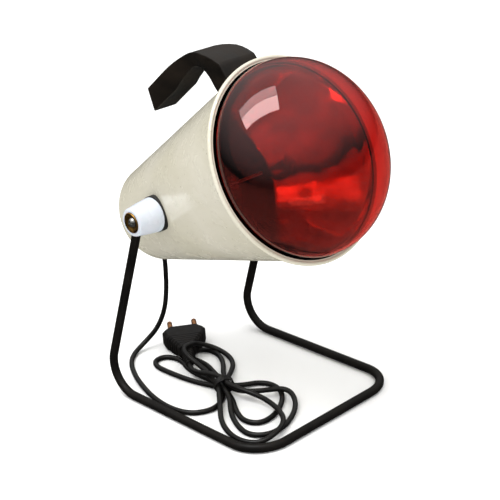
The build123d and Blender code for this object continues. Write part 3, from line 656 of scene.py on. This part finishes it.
def make_tie():
    """The black tie, wound five times round the hank's waist."""
    steps, turns, pitch = 12, 5, 1.25 * MM
    half_width, half_height = 6.9 * MM, 5.5 * MM
    off_centre, middle = -0.85 * MM, 6.1 * MM
    points = []
    for i in range(steps * turns + 1):
        turn = 2 * math.pi * i / steps + math.pi / 2
        along = TIE_ALONG * (i / steps - turns / 2) * pitch
        across = TIE_ACROSS * (off_centre + half_width * math.cos(turn))
        points.append(TIE + along + across + Vector((0, 0, middle + half_height * math.sin(turn))))
    piece = round_curve("hank_tie", points, TIE_WIRE_R, 4)
    only(piece)
    bpy.ops.object.convert(target="MESH")
    return settle(piece, Matrix.Identity(4), "stand", "cable_black", "cord_tie")


def plug_ring(along, half_width, half_height=PLUG_HALF_HEIGHT, corner=PLUG_CORNER):
    """A rectangle with cut corners across the plug, from sizes in millimetres."""
    w, h, c = half_width, half_height, corner
    upper = [(w, h - c), (w - c, h), (0, h), (c - w, h), (-w, h - c)]
    lower = [(-x, -y) for x, y in upper]
    return [(x * MM, y * MM, along * MM) for x, y in upper + lower]


def plug_flank(along):
    """Half of the plug's width on its tapered flanks."""
    share = (along - PLUG_TAIL_AT) / (PLUG_FLANK_AT - PLUG_TAIL_AT)
    return PLUG_TAIL_HALF + share * (PLUG_FLANK_HALF - PLUG_TAIL_HALF)


def make_plug_body():
    """The plug's moulded body: ears near the face, finger ridges along the flanks, a stepped face."""
    ridges, ridges_from, ridge_pitch, groove = 5, -30.5, 2.9, 0.7
    rise = 0.12
    rings = [plug_ring(PLUG_TAIL_AT, PLUG_TAIL_HALF, PLUG_TAIL_HALF_HEIGHT, PLUG_END_CORNER)]
    for i in range(ridges):
        for share, dip in ((0.15, 0), (0.35, groove), (0.65, groove), (0.85, 0)):
            along = ridges_from + (i + share) * ridge_pitch
            half_height = min(PLUG_HALF_HEIGHT, PLUG_TAIL_HALF_HEIGHT + (along - PLUG_TAIL_AT) * rise)
            rings.append(plug_ring(along, plug_flank(along) - dip, half_height - dip / 2))
    rings += [
        plug_ring(PLUG_FLANK_AT, PLUG_FLANK_HALF),
        plug_ring(PLUG_EAR_AT, PLUG_EAR_HALF),
        plug_ring(-0.8, 11.8),
        plug_ring(0.0, 11.0, 6.0, PLUG_END_CORNER),
    ]
    body = eased(drawn("plug_shell", rings), 0.45, 3, 24)
    return settle(body, PLUG, "stand", "plug_black", "plug_body", angle=40)


def make_plug_relief():
    """The plug's tapered cord relief, with six ribs."""
    ribs, ribs_from, rib_pitch, rib_r, taper = 6, -34.0, 3.1, 4.9, 0.37
    outline = [(-31.0, 5.0)]
    for i in range(ribs):
        start, radius = ribs_from - i * rib_pitch, rib_r - i * taper
        steps = [(0, 0), (0.35, 0.75), (1.0, 0.8), (1.35, 0.1)]
        outline += [(start - along, radius - dip) for along, dip in steps]
    outline += [(-52.4, 2.9), (RELIEF_END_AT, 2.5)]
    relief = eased(turned("plug_relief", outline, 40), 0.15, 2, 30)
    return settle(relief, PLUG, "stand", "plug_black")


def make_plug_pin(number, offset):
    """One pin with a rounded tip, thinner where it is held in the body."""
    outline = [(-3.5, PIN_ROOT_R), (0.0, PIN_ROOT_R), (0.02, PIN_R)]
    outline += quarter_round(PIN_TIP_AT, PIN_R, 0.6, 5)
    pin = turned(f"plug_pin_{number}", outline, 40)
    place = placed(plug_face + plug_across * offset * MM, plug_across, plug_forward)
    return settle(pin, place, "stand", "pin_copper", "plug_pins")


def make_gland():
    """The gland: a flange outside the shade, a ribbed tail for the cord, and a short neck inside."""
    neck = [(-52.0, 3.6), (-52.6, 4.3), (-58.6, 5.0), (-63.4, 5.0)]
    flange = [(-63.45, 6.3), (-63.9, 6.5), (-65.0, 6.5), (-65.5, 6.0)]
    tail = [(-65.6, 4.7), (-67.0, 4.4), (-67.2, 3.8), (-67.8, 3.8), (-68.0, 4.1), (-69.2, 3.8)]
    tail += [(-69.4, 3.2), (-70.0, 3.2), (-70.2, 3.5), (-71.2, 3.2), (-72.2, 2.9), (GLAND_TIP_AT, 2.4)]
    piece = turned("cord_boot", neck + flange + tail, 48)
    return settle(piece, placed(gland_axis, side, front), "head", "cable_black", "cord_gland")


cord = make_cord()
tie = make_tie()
plug_pieces = [make_plug_body(), make_plug_relief()]
for number, offset in ((1, -PIN_OFF_CENTRE), (2, PIN_OFF_CENTRE)):
    plug_pieces.append(make_plug_pin(number, offset))
make_gland()

# ---------------------------------------------------------------- bulb

BULB_WIDEST_AT = 99.7
BULB_R = 62.5
DOME_H = 42.0
GLASS_WALL = 1.2
COAT_WALL, COAT_INSET = 0.4, 1.5
COAT_FROM, COAT_TO = 4.0, 96.5
NECK = [(-19.0, 12.7), (-11.3, 12.9), (-6.0, 15.4), (0.0, 19.6)]
FLARE = [(15.0, 25.2), (30.0, 30.5), (45.0, 38.2), (60.0, 45.5), (72.0, 51.7), (84.0, 57.6), (92.0, 61.0)]


def smooth_through(points, steps):
    """A smooth outline through points: Catmull-Rom."""
    path = [points[0], *points, points[-1]]
    found = []
    for before, here, there, after in zip(path, path[1:], path[2:], path[3:]):
        for t in [i / steps for i in range(steps)]:
            near_here, near_there = 2 + t * t * (3 * t - 5), t * (1 + t * (4 - 3 * t))
            pull = (t * (-1 + t * (2 - t)), near_here, near_there, t * t * (t - 1))
            ends = zip(before, here, there, after)
            found.append(tuple(sum(w * p for w, p in zip(pull, four)) / 2 for four in ends))
    return [*found, points[-1]]


def bulb_outline(inset):
    """The bulb's outline from its neck to the tip of its dome, less an inset, in millimetres."""
    dome_steps = 28
    squeeze = (BULB_R - inset) / BULB_R
    side_points = smooth_through([*NECK, *FLARE, (BULB_WIDEST_AT, BULB_R)], 4)
    outline = [(along, radius - inset) for along, radius in side_points]
    for turn in [math.pi / 2 * i / dome_steps for i in range(1, dome_steps)]:
        rise, radius = DOME_H * math.sin(turn), BULB_R * math.cos(turn)
        outline.append((BULB_WIDEST_AT + rise * squeeze, radius * squeeze))
    return [*outline, (BULB_WIDEST_AT + DOME_H * squeeze, 0.4)]


def walled(piece, wall_mm):
    """Open the ends of a turned piece and give it a wall, inwards."""
    only(piece)
    bpy.ops.object.mode_set(mode="EDIT")
    bpy.ops.mesh.select_all(action="DESELECT")
    mesh = bmesh.from_edit_mesh(piece.data)
    for face in mesh.faces:
        face.select_set(len(face.verts) > 4)
    bmesh.update_edit_mesh(piece.data)
    bpy.ops.mesh.delete(type="ONLY_FACE")
    bpy.ops.object.mode_set(mode="OBJECT")
    return modified(piece, "SOLIDIFY", thickness=wall_mm * MM, offset=-1)


def make_bulb():
    """The blown envelope, and the mirror coat inside its flare."""
    envelope = walled(turned("bulb_envelope", bulb_outline(0), 128, pointed=True), GLASS_WALL)
    settle(envelope, HEAD, "bulb", "bulb_red", "bulb_glass", angle=60)
    coat = [(along, radius) for along, radius in bulb_outline(COAT_INSET) if COAT_FROM <= along <= COAT_TO]
    mirror = walled(turned("reflector_coat", coat, 128), COAT_WALL)
    settle(mirror, HEAD, "bulb", "mirror_coat", "bulb_mirror", angle=60)


make_bulb()

# ---------------------------------------------------------------- pivot hardware

KNOB_INNER_R, KNOB_OUTER_R = 11.75, 9.5
KNOB_SEAT_R, KNOB_SEAT_DEPTH = 6.9, 1.4
SCREW_HEAD_R, SCREW_HEAD_H = 3.4, 2.2
SCREW_R, SCREW_LENGTH = 2.0, 32.0
SCREW_SINKS = 0.6 * MM
RECESS_WIDTH, RECESS_DEPTH = 0.8, 1.6


def outward_at(direction, face_x):
    """Drawn along +Z, placed on the tilt axis, pointing out of the lamp's left or right side."""
    face = Vector((direction * face_x, pivot.y, pivot.z))
    return placed(face, Vector((0, 1, 0)), Vector((direction, 0, 0)))


def cut_cross_recess(screw):
    """Cut two crossed slots into the top of a screw's head."""
    reach = SCREW_HEAD_R * 1.15
    for length, width in ((reach, RECESS_WIDTH), (RECESS_WIDTH, reach)):
        bpy.ops.object.select_all(action="DESELECT")
        bpy.ops.mesh.primitive_cube_add(size=1, location=(0, 0, SCREW_HEAD_H * MM))
        bar = bpy.context.object
        bar.scale = (length * MM, width * MM, RECESS_DEPTH * MM)
        bpy.ops.object.transform_apply(location=True, rotation=True, scale=True)
        modified(screw, "BOOLEAN", operation="DIFFERENCE", object=bar, solver="EXACT")
        bpy.data.objects.remove(bar)
    return screw


def domed_screw(name):
    """A domed screw with a cross recess; its head's underside is at the origin."""
    steps = 8
    ball_r = (SCREW_HEAD_R**2 + SCREW_HEAD_H**2) / (2 * SCREW_HEAD_H)
    edge_turn = math.asin(SCREW_HEAD_R / ball_r)
    shank = [(-SCREW_LENGTH, SCREW_R - 0.4), (-SCREW_LENGTH + 0.5, SCREW_R), (-0.02, SCREW_R)]
    head = [(0.0, SCREW_HEAD_R - 0.15), (0.15, SCREW_HEAD_R)]
    for turn in [edge_turn * (1 - i / steps) for i in range(1, steps)]:
        head.append((SCREW_HEAD_H - ball_r * (1 - math.cos(turn)), ball_r * math.sin(turn)))
    screw = turned(name, [*shank, *head, (SCREW_HEAD_H, 0.3)], 40, pointed=True)
    return cut_cross_recess(screw)


def knob_outline(length):
    """A white knob's outline: a rounded outer end with a seat for its cup washer."""
    middle_r = (KNOB_INNER_R + KNOB_OUTER_R) / 2 + 0.15
    return [
        (0.0, KNOB_INNER_R - 0.4),
        (0.4, KNOB_INNER_R),
        (length / 2, middle_r),
        *quarter_round(length, KNOB_OUTER_R, 1.3, 6),
        (length, KNOB_SEAT_R + 0.3),
        (length - 0.3, KNOB_SEAT_R),
        (length - KNOB_SEAT_DEPTH, KNOB_SEAT_R),
    ]


def make_pivots():
    """A knob, a brass cup and a chromed screw on each side."""
    outside = [(-1.35, 2.1), (-1.35, 6.7), (0.2, 6.75), (0.55, 6.5)]
    dish = [(0.5, 6.1), (-0.2, 4.6), (-0.6, 3.9), (-0.62, 2.1), (-1.35, 2.1)]
    for direction, word in ((-1, "left"), (1, "right")):
        outline = knob_outline((knob_high.x - knob_low.x) / MM)
        knob = turned(f"pivot_knob_{word}", outline, 72)
        settle(knob, outward_at(direction, knob_low.x), "stand", "boss_white", f"pivot_boss_{word}")
        cup = turned(f"cup_washer_{word}", outside + dish, 56, hollow=True)
        settle(cup, outward_at(direction, knob_high.x), "stand", "cup_brass", "cup_washers")
        screw = domed_screw(f"pivot_screw_{word}")
        under_head = outward_at(direction, knob_high.x - SCREW_SINKS)
        settle(screw, under_head, "stand", "screw_chrome", "pivot_screws")


make_pivots()

# ---------------------------------------------------------------- handle

SHADE_MOUTH_AT, SHADE_MOUTH_R = 95.5, 64.1
SHADE_BACK_AT, SHADE_BACK_R = -63.5, 34.0
HANDLE_SCREW_AT = 70.5
HANDLE_HALF_WIDTHS = [(-15.0, 9.8), (10.0, 9.5), (34.0, 9.2), (50.0, 11.0), (64.0, 15.5), (90.0, 15.5)]
HANDLE_CLEAR = 0.05


def shade_radius(along):
    """Radius of the shade's cone at a distance in front of the pivot, in millimetres."""
    slope = (SHADE_MOUTH_R - SHADE_BACK_R) / (SHADE_MOUTH_AT - SHADE_BACK_AT)
    return SHADE_MOUTH_R - (SHADE_MOUTH_AT - along) * slope


def handle_half_width(along):
    """The handle is narrowest at the middle of its grip and widens to its foot."""
    for (a, wide_a), (b, wide_b) in zip(HANDLE_HALF_WIDTHS, HANDLE_HALF_WIDTHS[1:]):
        if along <= b:
            return wide_a + (wide_b - wide_a) * (along - a) / (b - a)
    return HANDLE_HALF_WIDTHS[-1][1]


def make_handle():
    """The hook handle: a flat bar drawn from its free tip along the grip and down to the shade."""
    top = [(-10.0, 20.9), (3.0, 23.8), (14.0, 26.2)]
    top += arc((14.0, 26.2), (27.0, 28.2), (40.0, 28.7), 4)
    top += arc((40.0, 28.7), (61.0, 24.0), (75.0, 13.8), 8)
    low = [(-12.0, 4.9), (4.0, 8.3), (18.0, 11.2)]
    low += arc((18.0, 11.2), (31.0, 16.2), (43.5, 18.9), 4)
    low += arc((43.5, 18.9), (55.2, 15.2), (62.0, 6.6), 8)
    base = shade_radius(HANDLE_SCREW_AT)
    across = 6
    shares = [1 - 2 * i / across for i in range(across + 1)]
    rings = []
    for (top_at, top_up), (low_at, low_up) in zip(top, low):
        upper = [(s * handle_half_width(top_at), top_up + base, top_at) for s in shares]
        lower = [(-s * handle_half_width(low_at), low_up + base, low_at) for s in shares]
        rings.append([(x * MM, y * MM, z * MM) for x, y, z in upper + lower])
    for drop in (0.08, 0.25, 0.6, 1.0):
        ring = []
        outer_at, inner_at = top[-1][0] + 3.3 * math.sqrt(drop), low[-1][0] + 3.0 * drop
        for along, rise, order in ((outer_at, top[-1][1], 1), (inner_at, low[-1][1], -1)):
            for share in shares:
                x = order * share * handle_half_width(along)
                foot = math.sqrt(shade_radius(along) ** 2 - x * x) + HANDLE_CLEAR
                height = (base + rise) * (1 - drop) + foot * drop
                ring.append((x * MM, height * MM, along * MM))
        rings.append(ring)
    piece = eased(drawn("hook_handle", rings), 0.8, 3, 28)
    return settle(piece, HEAD, "head", "handle_black", "handle", angle=30)


make_handle()

# ---------------------------------------------------------------- floor, light and room

FLOOR_SIZE, FLOOR_DROP = 12, 0.2 * MM
AIM = Vector((0, -0.02, 0.15))
WINDOW_DISTANCE = 1.4
STRIP_DISTANCE, STRIP_DROP = 0.6, 0.095
STRIP_AZIMUTH = math.radians(-12)


def make_floor():
    """A plain pale floor that runs past every edge of the view."""
    bpy.ops.object.select_all(action="DESELECT")
    bpy.ops.mesh.primitive_plane_add(size=FLOOR_SIZE, location=(0, 0, -FLOOR_DROP))
    floor = bpy.context.object
    floor.name = "floor"
    material = new_material("pale_floor")
    tone = two_tones(material, patches(material, 400), "#F6F6F5", "#F9F9F8")
    floor.data.materials.append(coated_with(material, {"Base Color": tone, "Roughness": 0.8}))
    floor.visible_glossy = False


def soft_pane(name, place, long_way, outward, size, power, colour="#FFFFFF"):
    """A rectangular soft light at a place, shining back against its outward direction."""
    bpy.ops.object.light_add(type="AREA")
    light = bpy.context.object
    light.name = name
    light.matrix_world = placed(place, long_way, outward)
    light.data.shape = "RECTANGLE"
    light.data.size, light.data.size_y = size
    light.data.energy = power
    light.data.color = linear(colour)[:3]
    return light


def make_window():
    """A window high on the left, in a bright pane and a dimmer one."""
    outward = Vector((-0.22, 0.04, 0.96)).normalized()
    long_way = Vector((0.5, 0.87, 0)).cross(outward).normalized()
    middle = AIM + outward * WINDOW_DISTANCE
    across = outward.cross(long_way) * 0.19
    soft_pane("window_near", middle - across, long_way, outward, (1.15, 0.42), 14)
    soft_pane("window_far", middle + across, long_way, outward, (1.15, 0.32), 4.5, "#FBFDFF")


def make_strip():
    """A low soft strip in front. Gloss doesn't show it, only the bulb's mirror does, through its glass."""
    outward = Vector((math.sin(STRIP_AZIMUTH), -math.cos(STRIP_AZIMUTH), 0))
    place = AIM + outward * STRIP_DISTANCE - Vector((0, 0, STRIP_DROP))
    strip = soft_pane("low_strip", place, outward.cross(Vector((0, 0, 1))), outward, (0.4, 0.085), 0.35)
    strip.visible_camera = False
    strip.visible_glossy = False


def make_ceiling():
    """Even light from above, which keeps the floor pale. Gloss doesn't show it, or it would be a disc."""
    bpy.ops.object.light_add(type="SUN", rotation=(math.radians(22), math.radians(-18), 0))
    ceiling = bpy.context.object
    ceiling.name = "diffuse_ceiling"
    ceiling.data.energy = 1.6
    ceiling.data.angle = math.radians(140)
    ceiling.visible_glossy = False


def make_room():
    """A room that is dark towards the horizon and pale above, so that gloss and glass show something."""
    room = bpy.data.worlds.new("room")
    bpy.context.scene.world = room
    room.use_nodes = True
    direction = add(room, "TexCoord").outputs["Generated"]
    height = add(room, "SeparateXYZ", {"Vector": direction}).outputs["Z"]
    ranged = {"Value": height, "From Min": 0.05, "From Max": 0.8, "To Min": 0.06, "To Max": 0.95}
    glow = add(room, "MapRange", ranged).outputs["Result"]
    background = room.node_tree.nodes["Background"]
    background.inputs["Color"].default_value = linear("#FFFFFF")
    room.node_tree.links.new(glow, background.inputs["Strength"])


make_floor()
make_window()
make_strip()
make_ceiling()
make_room()
bpy.context.scene.view_settings.view_transform = "Standard"
